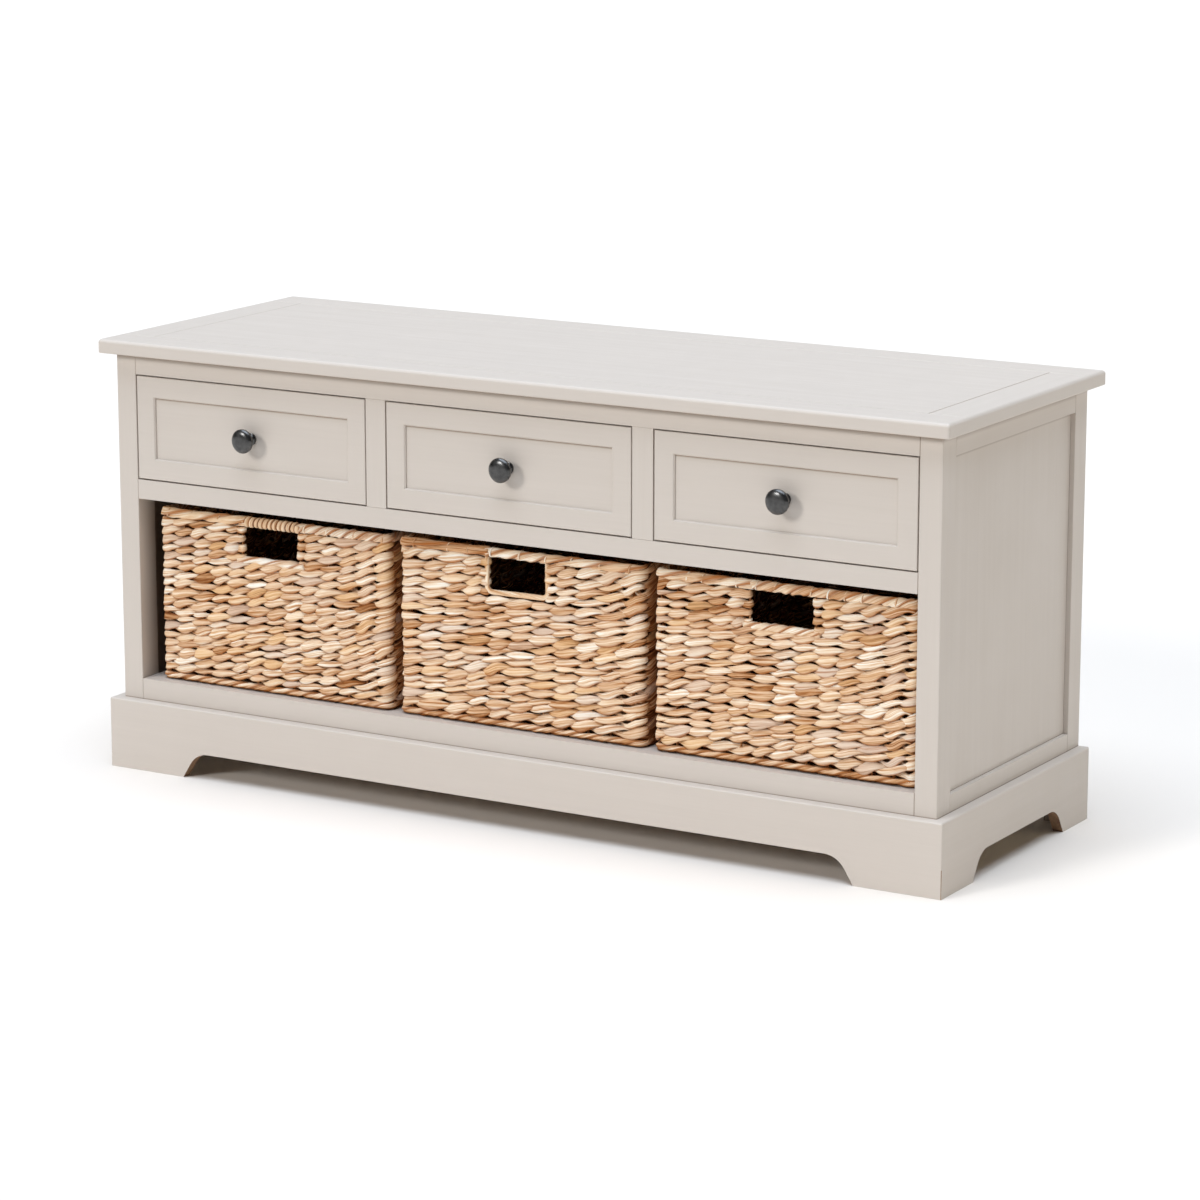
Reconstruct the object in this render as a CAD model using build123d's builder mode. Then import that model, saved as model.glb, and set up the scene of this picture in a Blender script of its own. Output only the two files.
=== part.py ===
from build123d import *
import math
import os

# Entryway bench: a painted wood carcass with three drawers over three woven baskets.
# Millimetres, +Z up, +X to the right, front towards -Y. The origin is on the floor,
# in the middle of the whole bench.

# ---------------------------------------------------------------- body and top
body_width = 1032.0          # over the posts
body_depth = 350.0           # over the posts
post_width = 26.0            # posts and side rails, along X
post_depth = 30.0            # posts, along Y
rail_thickness = 20.0        # front and back rails, along Y
base_rail_reveal = 24.0      # base rail showing above the plinth
compartment_height = 209.0   # open bay for the baskets
middle_rail_height = 22.0
drawer_opening_height = 120.0
top_rail_height = 23.0
base_rail_bottom = 45.0      # lower edge of the base rails, hidden by the plinth
side_top_rail_height = 24.5
side_base_reveal = 19.5      # side base rail showing above the plinth
post_edge_radius = 1.5
frame_joint_bevel = 0.5      # eased edges where posts, rails and stiles meet

top_thickness = 16.0
top_overhang_side = 14.0
top_overhang_front = 16.0
top_overhang_back = 16.0
top_border = 45.5            # width of the frame boards round the top's centre board
top_corner_radius = 3.0
top_upper_radius = 4.0
top_lower_radius = 1.5
top_joint_bevel = 0.8        # eased edges that make the hairline joints

# ---------------------------------------------------------------- plinth
plinth_height = 81.0
plinth_thickness = 12.0
plinth_edge_radius = 2.0
plinth_corner_bevel = 0.6    # eased corners where the boards are mitred
notch_height = 30.0          # cut-outs between the feet
notch_angle = 58.0           # slope of the feet's inner edge, from the floor
notch_radius = 28.0
front_foot_length = 101.0    # feet along the floor, on the front board
side_foot_front = 75.0       # feet along the floor, on the side boards
side_foot_back = 63.0

# ---------------------------------------------------------------- panels and shelves
groove_depth = 6.0           # how far a panel sits in its groove
side_panel_thickness = 10.0
side_panel_recess = 5.5      # side panel set back from the rails' outer face
back_panel_thickness = 5.0
bottom_shelf_thickness = 15.0
middle_shelf_thickness = 12.0
batten_width = 30.0          # battens under the bottom shelf
batten_height = 22.0

# ---------------------------------------------------------------- drawers
drawer_names = ["left", "middle", "right"]
divider_width = 25.0
partition_thickness = 12.0
drawer_gap = 1.5             # reveal round each drawer front
drawer_front_thickness = 18.0
drawer_frame_width = 24.0
drawer_edge_radius = 1.0
drawer_back_room = 10.0      # behind a closed drawer
panel_recess = 3.0           # panel set back from the drawer front's face
panel_bevel = 1.5
panel_thickness = 8.0
side_clearance = 2.5         # drawer box to the opening, each side
slide_clearance = 0.3        # drawer box above the shelf it runs on
guide_clearance = 0.8        # drawer box to its guides
guide_height = 15.0
drawer_side_thickness = 10.0
drawer_headroom = 22.0       # drawer sides lower than the opening
drawer_back_thickness = 10.0
drawer_bottom_thickness = 4.0
drawer_bottom_rise = 8.0     # drawer bottom above the lower edge of the sides

# ---------------------------------------------------------------- knobs and screws
knob_diameter = 27.0
knob_projection = 22.0       # from the drawer panel
knob_base_diameter = 14.0
knob_stem_diameter = 8.5
knob_base_height = 1.5
knob_neck_height = 6.0       # where the flared base has become the stem
knob_cup_height = 3.0        # from the stem to the edge of the disc
knob_edge_height = 2.5
knob_dome_height = 4.0
knob_screw_diameter = 4.0
knob_screw_reach = 10.0      # screw inside the knob
screw_head_diameter = 8.0
screw_head_height = 2.5
screw_clearance = 0.1        # round each screw, on the radius

top_screw_diameter = 4.0
top_screw_bite = 10.0        # screw inside the top
top_screw_pocket = 5.0       # depth of the pocket that takes the head
top_screw_inset = 60.0       # from the ends of each drawer opening

# ---------------------------------------------------------------- baskets
basket_names = ["left", "middle", "right"]
basket_headroom = 11.0       # baskets lower than their bay
basket_gap = 9.0             # between neighbouring baskets
basket_gap_left = 16.0       # the row of baskets stands a little to the right
basket_gap_right = 4.0
basket_setback = 12.0        # behind the front of the body
basket_back_room = 8.0       # behind the baskets
basket_rest = 0.3            # air under a basket
basket_corner_radius = 18.0
basket_wall = 7.0
basket_base_thickness = 6.0
border_height = 12.0         # thick plied border at the foot of the wall
border_step = 2.5            # how far it stands out from the wall
rim_width = 10.0
rim_height = 10.0
rim_edge_radius = 3.5
rim_wire_diameter = 4.0
rim_wire_clearance = 0.1
handle_width = 72.0
handle_height = 34.0
handle_corner_radius = 7.0
handle_offset = -3.0         # handle's middle from the basket's middle

# ---------------------------------------------------------------- worked-out places
z_base_rail = plinth_height + base_rail_reveal
z_bay_top = z_base_rail + compartment_height
z_drawer_floor = z_bay_top + middle_rail_height
z_drawer_top = z_drawer_floor + drawer_opening_height
z_body_top = z_drawer_top + top_rail_height
z_top = z_body_top + top_thickness

front_reach = max(top_overhang_front, knob_projection - panel_recess)
body_front = (front_reach - top_overhang_back - body_depth) / 2
body_back = body_front + body_depth
body_side = body_width / 2
bay_side = body_side - post_width
post_front_inner = body_front + post_depth
post_back_inner = body_back - post_depth
rail_front_inner = body_front + rail_thickness
rail_back_inner = body_back - rail_thickness

side_panel_outer = body_side - side_panel_recess
side_panel_inner = side_panel_outer - side_panel_thickness
side_panel_low = plinth_height + side_base_reveal
side_panel_high = z_body_top - side_top_rail_height
back_panel_inner = rail_back_inner - back_panel_thickness

top_side = body_side + top_overhang_side
top_front = body_front - top_overhang_front
top_back = body_back + top_overhang_back

drawer_count = len(drawer_names)
drawer_width = (2 * bay_side - (drawer_count - 1) * divider_width) / drawer_count
drawer_pitch = drawer_width + divider_width
drawer_mid_z = (z_drawer_floor + z_drawer_top) / 2
drawer_depth = back_panel_inner - drawer_back_room - body_front
drawer_side_height = drawer_opening_height - drawer_headroom
drawer_places = [(i - (drawer_count - 1) / 2) * drawer_pitch for i in range(drawer_count)]
divider_places = [x + drawer_pitch / 2 for x in drawer_places[:-1]]

basket_count = len(basket_names)
basket_row = 2 * bay_side - basket_gap_left - basket_gap_right
basket_width = (basket_row - (basket_count - 1) * basket_gap) / basket_count
basket_depth = back_panel_inner - basket_back_room - body_front - basket_setback
basket_height = compartment_height - basket_headroom
basket_mid_y = body_front + basket_setback + basket_depth / 2
basket_low = z_base_rail + basket_rest
basket_wall_top = basket_low + basket_height - rim_height
first_basket = -bay_side + basket_gap_left + basket_width / 2
basket_places = [first_basket + i * (basket_width + basket_gap) for i in range(basket_count)]

screw_reach = drawer_width / 2 - top_screw_inset
screw_places = [
    (x + side * screw_reach, y)
    for y in (body_front + rail_thickness / 2, body_back - rail_thickness / 2)
    for x in drawer_places
    for side in (-1, 1)
]

SIDES = {"left": -1, "right": 1}

os.makedirs("parts", exist_ok=True)


def save(piece, name):
    """Label a finished piece and write it under its own name."""
    piece.part.label = name
    export_step(piece.part, f"parts/{name}.step")


def block(x_span, y_span, z_span, mode=Mode.ADD):
    """Add or cut a rectangular block that fills three spans, given in any order."""
    (x0, x1), (y0, y1), (z0, z1) = sorted(x_span), sorted(y_span), sorted(z_span)
    with BuildSketch(Plane.XY.offset(z0)) as outline:
        with Locations(((x0 + x1) / 2, (y0 + y1) / 2)):
            Rectangle(x1 - x0, y1 - y0)
    extrude(outline.sketch, amount=z1 - z0, mode=mode)


def prism(points, z0, height):
    """Add an upright prism over a plan outline."""
    with BuildSketch(Plane.XY.offset(z0)) as plan:
        with BuildLine():
            Polyline(*points, close=True)
        make_face()
    extrude(plan.sketch, amount=height)


def front_plane(x, y, z):
    """A plane that faces the front, with X to the right and its own Y upwards."""
    return Plane(origin=(x, y, z), x_dir=(1, 0, 0), z_dir=(0, -1, 0))


def ring(x, width, depth, radius, wall, z0, height, mode=Mode.ADD):
    """Add or cut an upright wall round a rounded rectangle of the basket at x."""
    with BuildSketch(Plane.XY.offset(z0)) as outline:
        with Locations((x, basket_mid_y)):
            RectangleRounded(width, depth, radius)
            RectangleRounded(
                width - 2 * wall, depth - 2 * wall, radius - wall, mode=Mode.SUBTRACT
            )
    extrude(outline.sketch, amount=height, mode=mode)


# ================================================================ top
def screw_pilots():
    """Holes in the underside of the top for the screws that come up through the rails."""
    with BuildSketch(Plane.XY.offset(z_body_top)) as pilots:
        with Locations(*screw_places):
            Circle(top_screw_diameter / 2)
    extrude(pilots.sketch, amount=top_screw_bite, mode=Mode.SUBTRACT)


for place, outer, inner in (
    ("front", top_front, top_front + top_border),
    ("back", top_back, top_back - top_border),
):
    outward = -1 if place == "front" else 1
    with BuildPart() as top_rail:
        block((-top_side, top_side), (outer, inner), (z_body_top, z_top))
        corners = top_rail.edges().filter_by(Axis.Z).sort_by(Axis.Y)
        fillet(corners[:2] if outward < 0 else corners[-2:], top_corner_radius)
        joint_edge = top_rail.edges().group_by(Axis.Z)[-1].sort_by(Axis.Y)[-1 if outward < 0 else 0]
        chamfer(joint_edge, top_joint_bevel)
        upper = top_rail.edges().group_by(Axis.Z)[-1].sort_by(Axis.Y)
        fillet(upper[:-1] if outward < 0 else upper[1:], top_upper_radius)
        lower = top_rail.edges().group_by(Axis.Z)[0].sort_by(Axis.Y)
        fillet(lower[:-1] if outward < 0 else lower[1:], top_lower_radius)
        screw_pilots()
    save(top_rail, f"top_rail_{place}")

with BuildPart() as top_ends:
    block(
        (top_side - top_border, top_side),
        (top_front + top_border, top_back - top_border),
        (z_body_top, z_top),
    )
    chamfer(top_ends.edges().group_by(Axis.Z)[-1].sort_by(Axis.X)[:-1], top_joint_bevel)
    outer_edges = top_ends.edges().filter_by(Axis.Y).group_by(Axis.X)[-1]
    fillet(outer_edges.sort_by(Axis.Z)[-1], top_upper_radius)
    outer_edges = top_ends.edges().filter_by(Axis.Y).group_by(Axis.X)[-1]
    fillet(outer_edges.sort_by(Axis.Z)[0], top_lower_radius)
    mirror(about=Plane.YZ)
save(top_ends, "top_ends")

with BuildPart() as top_panel:
    block(
        (top_border - top_side, top_side - top_border),
        (top_front + top_border, top_back - top_border),
        (z_body_top, z_top),
    )
    chamfer(top_panel.edges().group_by(Axis.Z)[-1], top_joint_bevel)
save(top_panel, "top_panel")


# ================================================================ carcass frame
def side_groove(side):
    """Groove along Y that takes a side panel's edges, over the panel's whole height."""
    block(
        (side * side_panel_inner, side * side_panel_outer),
        (post_front_inner - groove_depth, post_back_inner + groove_depth),
        (side_panel_low - groove_depth, side_panel_high + groove_depth),
        mode=Mode.SUBTRACT,
    )


back_panel_span = {
    "x_span": (-bay_side - groove_depth, bay_side + groove_depth),
    "y_span": (back_panel_inner, rail_back_inner),
    "z_span": (base_rail_bottom, z_body_top),
}

for side_name, side in SIDES.items():
    for end, y_span in (
        ("front", (body_front, post_front_inner)),
        ("back", (post_back_inner, body_back)),
    ):
        corner = (side * body_side, body_front if end == "front" else body_back, z_body_top / 2)
        with BuildPart() as post:
            block((side * bay_side, side * body_side), y_span, (0, z_body_top))
            uprights = post.edges().filter_by(Axis.Z).sort_by_distance(corner)
            chamfer(uprights[1:3], frame_joint_bevel)
            uprights = post.edges().filter_by(Axis.Z).sort_by_distance(corner)
            fillet(uprights[0], post_edge_radius)
            side_groove(side)
            if end == "back":
                block(**back_panel_span, mode=Mode.SUBTRACT)
        save(post, f"post_{end}_{side_name}")

    with BuildPart() as side_panel:
        block(
            (side * side_panel_inner, side * side_panel_outer),
            (post_front_inner - groove_depth, post_back_inner + groove_depth),
            (side_panel_low - groove_depth, side_panel_high + groove_depth),
        )
    save(side_panel, f"side_panel_{side_name}")

with BuildPart() as side_rails:
    for side in SIDES.values():
        for z_span in ((base_rail_bottom, side_panel_low), (side_panel_high, z_body_top)):
            block(
                (side * bay_side, side * body_side),
                (post_front_inner, post_back_inner),
                z_span,
            )
        side_groove(side)
    for outermost in (0, -1):
        end_edges = side_rails.edges().filter_by(Axis.Z).group_by(Axis.X)[outermost]
        chamfer(end_edges, frame_joint_bevel)
save(side_rails, "side_rails")

with BuildPart() as front_rail_bottom:
    block((-bay_side, bay_side), (body_front, rail_front_inner), (base_rail_bottom, z_base_rail))
    chamfer(front_rail_bottom.edges().filter_by(Axis.Z).group_by(Axis.Y)[0], frame_joint_bevel)
save(front_rail_bottom, "front_rail_bottom")

with BuildPart() as front_rail_middle:
    block((-bay_side, bay_side), (body_front, rail_front_inner), (z_bay_top, z_drawer_floor))
    chamfer(front_rail_middle.edges().filter_by(Axis.Z).group_by(Axis.Y)[0], frame_joint_bevel)
save(front_rail_middle, "front_rail_middle")


def screw_passages():
    """Clearance holes and head pockets for the top's screws."""
    with BuildSketch(Plane.XY.offset(z_drawer_top)) as passages:
        with Locations(*screw_places):
            Circle(top_screw_diameter / 2 + screw_clearance)
    extrude(passages.sketch, amount=top_rail_height, mode=Mode.SUBTRACT)
    with BuildSketch(Plane.XY.offset(z_drawer_top)) as pockets:
        with Locations(*screw_places):
            Circle(screw_head_diameter / 2 + screw_clearance)
    extrude(pockets.sketch, amount=top_screw_pocket, mode=Mode.SUBTRACT)


with BuildPart() as front_rail_top:
    block((-bay_side, bay_side), (body_front, rail_front_inner), (z_drawer_top, z_body_top))
    chamfer(front_rail_top.edges().filter_by(Axis.Z).group_by(Axis.Y)[0], frame_joint_bevel)
    screw_passages()
save(front_rail_top, "front_rail_top")

with BuildPart() as back_rails:
    for z_span in ((base_rail_bottom, z_base_rail), (z_drawer_top, z_body_top)):
        block((-bay_side, bay_side), (rail_back_inner, body_back), z_span)
    chamfer(back_rails.edges().filter_by(Axis.Z).group_by(Axis.Y)[-1], frame_joint_bevel)
    screw_passages()
save(back_rails, "back_rails")

with BuildPart() as top_screws:
    head_base = z_drawer_top + top_screw_pocket - screw_head_height
    with BuildSketch(Plane.XY.offset(head_base)):
        with Locations(*screw_places):
            Circle(screw_head_diameter / 2)
    extrude(amount=screw_head_height)
    with BuildSketch(Plane.XY.offset(z_drawer_top + top_screw_pocket)):
        with Locations(*screw_places):
            Circle(top_screw_diameter / 2)
    extrude(amount=top_rail_height - top_screw_pocket + top_screw_bite)
save(top_screws, "top_screws")

with BuildPart() as divider_stiles:
    for x in divider_places:
        block(
            (x - divider_width / 2, x + divider_width / 2),
            (body_front, rail_front_inner),
            (z_drawer_floor, z_drawer_top),
        )
    chamfer(divider_stiles.edges().filter_by(Axis.X).group_by(Axis.Y)[0], frame_joint_bevel)
save(divider_stiles, "divider_stiles")

with BuildPart() as back_panel:
    block(**back_panel_span)
save(back_panel, "back_panel")

with BuildPart() as bottom_shelf:
    block(
        (-bay_side, bay_side),
        (rail_front_inner, back_panel_inner),
        (z_base_rail - bottom_shelf_thickness, z_base_rail),
    )
save(bottom_shelf, "bottom_shelf")

with BuildPart() as shelf_battens:
    batten_top = z_base_rail - bottom_shelf_thickness
    for y0, y1 in (
        (rail_front_inner, rail_front_inner + batten_width),
        (back_panel_inner - batten_width, back_panel_inner),
    ):
        block((-bay_side, bay_side), (y0, y1), (batten_top - batten_height, batten_top))
save(shelf_battens, "shelf_battens")

with BuildPart() as middle_shelf:
    shelf_z = (z_drawer_floor - middle_shelf_thickness, z_drawer_floor)
    block((-side_panel_inner, side_panel_inner), (rail_front_inner, back_panel_inner), shelf_z)
    for side in SIDES.values():
        for y_span in ((rail_front_inner, post_front_inner), (post_back_inner, back_panel_inner)):
            block((side * bay_side, side * side_panel_inner), y_span, shelf_z, mode=Mode.SUBTRACT)
save(middle_shelf, "middle_shelf")

with BuildPart() as drawer_partitions:
    for x in divider_places:
        block(
            (x - partition_thickness / 2, x + partition_thickness / 2),
            (rail_front_inner, back_panel_inner),
            (z_drawer_floor, z_body_top),
        )
save(drawer_partitions, "drawer_partitions")

# Each drawer runs between two guides. They fill the room between the drawer's side and
# the wall beside it, all but the guide clearance.
partition_faces = [
    x + side * partition_thickness / 2 for x in divider_places for side in (-1, 1)
]
bay_walls = [-side_panel_inner] + partition_faces + [side_panel_inner]
guide_reach = drawer_width / 2 - side_clearance + guide_clearance
with BuildPart() as drawer_guides:
    for x, left_wall, right_wall in zip(drawer_places, bay_walls[::2], bay_walls[1::2]):
        for x_span in ((left_wall, x - guide_reach), (x + guide_reach, right_wall)):
            block(
                x_span,
                (post_front_inner, post_back_inner),
                (z_drawer_floor, z_drawer_floor + guide_height),
            )
save(drawer_guides, "drawer_guides")


# ================================================================ plinth
def notch(plane, length, middle, reach):
    """Cut the gap between two feet through a plinth board that lies along a plane."""
    foot_run = notch_height / math.tan(math.radians(notch_angle))
    with BuildSketch(plane) as gap:
        with BuildLine():
            Polyline(
                (middle - length / 2, 0),
                (middle - length / 2 + foot_run, notch_height),
                (middle + length / 2 - foot_run, notch_height),
                (middle + length / 2, 0),
                close=True,
            )
        make_face()
        fillet(gap.vertices().group_by(Axis.Y)[-1], notch_radius)
    extrude(gap.sketch, amount=reach, both=True, mode=Mode.SUBTRACT)


plinth_front_face = body_front - plinth_thickness
plinth_side_face = body_side + plinth_thickness

with BuildPart() as plinth_front:
    prism(
        [
            (-plinth_side_face, plinth_front_face),
            (plinth_side_face, plinth_front_face),
            (body_side, body_front),
            (-body_side, body_front),
        ],
        0,
        plinth_height,
    )
    chamfer(plinth_front.edges().filter_by(Axis.Z).group_by(Axis.Y)[0], plinth_corner_bevel)
    fillet(plinth_front.edges().group_by(Axis.Z)[-1].sort_by(Axis.Y)[0], plinth_edge_radius)
    notch(
        front_plane(0, body_front, 0),
        2 * (plinth_side_face - front_foot_length),
        0,
        2 * plinth_thickness,
    )
save(plinth_front, "plinth_front")

gap_front = plinth_front_face + side_foot_front
gap_back = body_back - side_foot_back
with BuildPart() as plinth_sides:
    prism(
        [
            (body_side, body_front),
            (plinth_side_face, plinth_front_face),
            (plinth_side_face, body_back),
            (body_side, body_back),
        ],
        0,
        plinth_height,
    )
    chamfer(plinth_sides.edges().filter_by(Axis.Z).sort_by(Axis.Y)[0], plinth_corner_bevel)
    upper_edges = plinth_sides.edges().filter_by(Axis.Y).group_by(Axis.Z)[-1]
    fillet(upper_edges.sort_by(Axis.X)[-1], plinth_edge_radius)
    notch(
        Plane(origin=(body_side, 0, 0), x_dir=(0, 1, 0), z_dir=(1, 0, 0)),
        gap_back - gap_front,
        (gap_back + gap_front) / 2,
        2 * plinth_thickness,
    )
    mirror(about=Plane.YZ)
save(plinth_sides, "plinth_sides")


# ================================================================ drawers
def drawer(name, x):
    """All the pieces of one drawer, whose opening is centred on x."""
    front_width = drawer_width - 2 * drawer_gap
    front_height = drawer_opening_height - 2 * drawer_gap
    sight_width = front_width - 2 * drawer_frame_width
    sight_height = front_height - 2 * drawer_frame_width
    panel_face = body_front + panel_recess
    panel_back = panel_face + panel_thickness
    face = front_plane(x, body_front, drawer_mid_z)
    panel_plane = front_plane(x, panel_face, drawer_mid_z)

    with BuildPart() as front_frame:
        with BuildSketch(face):
            Rectangle(front_width, front_height)
            Rectangle(sight_width, sight_height, mode=Mode.SUBTRACT)
        extrude(amount=-drawer_front_thickness)
        with BuildSketch(panel_plane):
            Rectangle(sight_width + 2 * groove_depth, sight_height + 2 * groove_depth)
        extrude(amount=-panel_thickness, mode=Mode.SUBTRACT)
        show_face = front_frame.faces().sort_by(Axis.Y)[0]
        chamfer(show_face.inner_wires()[0].edges(), panel_bevel)
        show_face = front_frame.faces().sort_by(Axis.Y)[0]
        fillet(show_face.outer_wire().edges(), drawer_edge_radius)
    save(front_frame, f"drawer_{name}_front_frame")

    with BuildPart() as front_panel:
        with BuildSketch(panel_plane):
            Rectangle(sight_width + 2 * groove_depth, sight_height + 2 * groove_depth)
            Circle(knob_screw_diameter / 2 + screw_clearance, mode=Mode.SUBTRACT)
        extrude(amount=-panel_thickness)
    save(front_panel, f"drawer_{name}_front_panel")

    box_front = body_front + drawer_front_thickness
    box_back = body_front + drawer_depth
    box_side = drawer_width / 2 - side_clearance
    box_inner = box_side - drawer_side_thickness
    box_low = z_drawer_floor + slide_clearance
    box_high = box_low + drawer_side_height
    bottom_z = box_low + drawer_bottom_rise
    bottom_span = (bottom_z, bottom_z + drawer_bottom_thickness)
    bottom_x = (x - box_inner - groove_depth, x + box_inner + groove_depth)
    bottom_y = (box_front, box_back)

    with BuildPart() as sides:
        for side in SIDES.values():
            block(
                (x + side * box_inner, x + side * box_side),
                (box_front, box_back),
                (box_low, box_high),
            )
        block(bottom_x, bottom_y, bottom_span, mode=Mode.SUBTRACT)
    save(sides, f"drawer_{name}_sides")

    with BuildPart() as back:
        block(
            (x - box_inner, x + box_inner),
            (box_back - drawer_back_thickness, box_back),
            (bottom_z + drawer_bottom_thickness, box_high),
        )
    save(back, f"drawer_{name}_back")

    with BuildPart() as bottom:
        block(bottom_x, bottom_y, bottom_span)
    save(bottom, f"drawer_{name}_bottom")

    knob_rim_high = knob_projection - knob_dome_height
    knob_rim_low = knob_rim_high - knob_edge_height
    knob_disc_start = knob_rim_low - knob_cup_height
    knob_axis = Axis(origin=(x, panel_face, drawer_mid_z), direction=(0, -1, 0))
    with BuildPart() as knob:
        with BuildSketch(Plane(origin=knob_axis.position, x_dir=(1, 0, 0), z_dir=(0, 0, -1))):
            with BuildLine():
                Polyline(
                    (0, 0),
                    (knob_base_diameter / 2, 0),
                    (knob_base_diameter / 2, knob_base_height),
                )
                Spline(
                    (knob_base_diameter / 2, knob_base_height),
                    (knob_stem_diameter / 2, knob_neck_height),
                    tangents=[(-1, 0.3), (0, 1)],
                )
                Line(
                    (knob_stem_diameter / 2, knob_neck_height),
                    (knob_stem_diameter / 2, knob_disc_start),
                )
                Spline(
                    (knob_stem_diameter / 2, knob_disc_start),
                    (knob_diameter / 2, knob_rim_low),
                    tangents=[(0.3, 1), (1, 0.3)],
                )
                Line((knob_diameter / 2, knob_rim_low), (knob_diameter / 2, knob_rim_high))
                Spline(
                    (knob_diameter / 2, knob_rim_high),
                    (0, knob_projection),
                    tangents=[(-0.6, 1), (-1, 0)],
                )
                Line((0, knob_projection), (0, 0))
            make_face()
        revolve(axis=knob_axis)
        with BuildSketch(panel_plane):
            Circle(knob_screw_diameter / 2)
        extrude(amount=knob_screw_reach, mode=Mode.SUBTRACT)
    save(knob, f"drawer_{name}_knob")

    with BuildPart() as knob_screw:
        with BuildSketch(front_plane(x, panel_back, drawer_mid_z)):
            Circle(screw_head_diameter / 2)
        extrude(amount=-screw_head_height)
        with BuildSketch(front_plane(x, panel_back, drawer_mid_z)):
            Circle(knob_screw_diameter / 2)
        extrude(amount=panel_thickness + knob_screw_reach)
    save(knob_screw, f"drawer_{name}_knob_screw")


for drawer_name, drawer_x in zip(drawer_names, drawer_places):
    drawer(drawer_name, drawer_x)

# ================================================================ baskets
wall_width = basket_width - 2 * border_step
wall_depth = basket_depth - 2 * border_step
wall_radius = basket_corner_radius - border_step
rim_inset = (rim_width - basket_wall) / 2

for basket_name, basket_x in zip(basket_names, basket_places):
    handle_x = basket_x + handle_offset
    handle_low = basket_wall_top - handle_height

    with BuildPart() as walls:
        wall_height = basket_wall_top - basket_low
        ring(basket_x, wall_width, wall_depth, wall_radius, basket_wall, basket_low, wall_height)
        ring(
            basket_x,
            basket_width,
            basket_depth,
            basket_corner_radius,
            basket_wall + border_step,
            basket_low,
            border_height,
        )
        # Handle hole, open upwards under the rim, with rounded lower corners.
        with BuildSketch(front_plane(handle_x, basket_mid_y, handle_low)):
            with Locations((0, handle_height)):
                RectangleRounded(handle_width, 2 * handle_height, handle_corner_radius)
        extrude(amount=basket_depth, mode=Mode.SUBTRACT)
    save(walls, f"basket_{basket_name}_walls")

    with BuildPart() as base:
        with BuildSketch(Plane.XY.offset(basket_low)):
            with Locations((basket_x, basket_mid_y)):
                RectangleRounded(
                    wall_width - 2 * basket_wall,
                    wall_depth - 2 * basket_wall,
                    wall_radius - basket_wall,
                )
        extrude(amount=basket_base_thickness)
    save(base, f"basket_{basket_name}_base")

    # The rim is wound over a steel wire ring that lies on top of the wall.
    wire_wall = rim_wire_diameter
    wire_inset = rim_width / 2 - rim_inset - wire_wall / 2
    with BuildPart() as rim:
        ring(
            basket_x,
            wall_width + 2 * rim_inset,
            wall_depth + 2 * rim_inset,
            wall_radius + rim_inset,
            rim_width,
            basket_wall_top,
            rim_height,
        )
        fillet(rim.edges().group_by(Axis.Z)[-1], rim_edge_radius)
        ring(
            basket_x,
            wall_width - 2 * wire_inset + 2 * rim_wire_clearance,
            wall_depth - 2 * wire_inset + 2 * rim_wire_clearance,
            wall_radius - wire_inset + rim_wire_clearance,
            wire_wall + 2 * rim_wire_clearance,
            basket_wall_top,
            rim_wire_diameter + rim_wire_clearance,
            mode=Mode.SUBTRACT,
        )
    save(rim, f"basket_{basket_name}_rim")

    with BuildPart() as rim_wire:
        ring(
            basket_x,
            wall_width - 2 * wire_inset,
            wall_depth - 2 * wire_inset,
            wall_radius - wire_inset,
            wire_wall,
            basket_wall_top,
            rim_wire_diameter,
        )
        fillet(rim_wire.edges().group_by(Axis.Z)[0], rim_wire_diameter / 4)
        fillet(rim_wire.edges().group_by(Axis.Z)[-1], rim_wire_diameter / 4)
    save(rim_wire, f"basket_{basket_name}_rim_wire")
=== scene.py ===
"""Looks of the entryway bench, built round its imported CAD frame.

The carcass, drawers, knobs and screws are the CAD solids with procedural finishes. The three
baskets are woven here strand by strand in the place of their plain CAD walls, rims and bases.
Metres, +Z up, front towards -Y.
"""

import math

import bpy
import numpy as np
from mathutils import Matrix, Vector


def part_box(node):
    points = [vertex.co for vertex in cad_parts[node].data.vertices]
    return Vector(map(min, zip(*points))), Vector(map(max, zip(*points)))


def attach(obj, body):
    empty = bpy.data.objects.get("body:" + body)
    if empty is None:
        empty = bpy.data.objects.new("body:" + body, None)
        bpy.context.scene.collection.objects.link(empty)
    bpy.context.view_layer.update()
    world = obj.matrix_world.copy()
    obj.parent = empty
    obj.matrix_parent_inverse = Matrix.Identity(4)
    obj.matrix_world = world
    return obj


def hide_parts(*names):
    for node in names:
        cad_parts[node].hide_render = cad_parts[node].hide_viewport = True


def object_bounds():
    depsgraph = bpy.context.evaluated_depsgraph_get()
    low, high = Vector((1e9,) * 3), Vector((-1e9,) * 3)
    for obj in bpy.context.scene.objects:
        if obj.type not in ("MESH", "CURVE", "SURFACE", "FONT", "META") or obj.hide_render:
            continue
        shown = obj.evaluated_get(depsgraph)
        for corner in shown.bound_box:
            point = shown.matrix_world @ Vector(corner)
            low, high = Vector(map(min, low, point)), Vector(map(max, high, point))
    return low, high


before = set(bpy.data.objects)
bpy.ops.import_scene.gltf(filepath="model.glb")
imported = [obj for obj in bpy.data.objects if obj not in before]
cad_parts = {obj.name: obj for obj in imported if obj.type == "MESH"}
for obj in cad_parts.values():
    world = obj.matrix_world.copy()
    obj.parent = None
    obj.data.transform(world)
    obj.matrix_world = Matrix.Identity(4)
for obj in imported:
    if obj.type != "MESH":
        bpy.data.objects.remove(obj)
cad_low, cad_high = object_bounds()
middle = (cad_low + cad_high) / 2
MM = 0.001

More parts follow.
